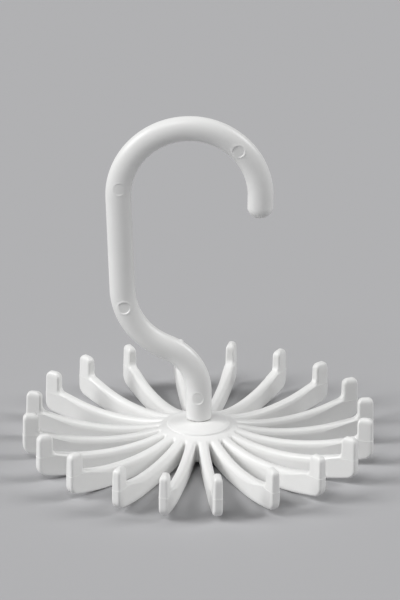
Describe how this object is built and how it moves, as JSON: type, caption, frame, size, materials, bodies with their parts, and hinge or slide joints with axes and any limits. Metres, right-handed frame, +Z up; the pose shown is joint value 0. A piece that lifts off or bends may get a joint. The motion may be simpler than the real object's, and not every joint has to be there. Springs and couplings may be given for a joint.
{
  "type": "tie hanger",
  "caption": "Round tie hanger: a hub with upturned claws that hold ties, under a hook that swivels to hang from a wardrobe rail.",
  "frame": {"origin": "on the swivel axis, at the level of the feet under the claws", "axes": "+Z up along the swivel axis; the hook lies in the XZ plane with its mouth towards +X"},
  "size_m": [0.1242, 0.1242, 0.126],
  "materials": {
    "hook_plastic": "white moulded polypropylene, satin to semi-gloss",
    "wheel_plastic": "white moulded polypropylene, satin to semi-gloss"
  },
  "bodies": {
    "wheel": {"hub": "wheel_plastic", "claw_01": "wheel_plastic", "claw_02": "wheel_plastic", "claw_03": "wheel_plastic", "claw_04": "wheel_plastic", "claw_05": "wheel_plastic", "claw_06": "wheel_plastic", "claw_07": "wheel_plastic", "claw_08": "wheel_plastic", "claw_09": "wheel_plastic", "claw_10": "wheel_plastic", "claw_11": "wheel_plastic", "claw_12": "wheel_plastic", "claw_13": "wheel_plastic", "claw_14": "wheel_plastic", "claw_15": "wheel_plastic", "claw_16": "wheel_plastic", "claw_17": "wheel_plastic", "claw_18": "wheel_plastic", "claw_19": "wheel_plastic", "claw_20": "wheel_plastic"},
    "hook": {"hook": "hook_plastic"}
  },
  "joints": [
    {"name": "hook_swivel", "type": "hinge", "parent": "wheel", "child": "hook", "pos_m": [0, 0, 0.0129], "axis": [0, 0, 1], "continuous": true}
  ]
}
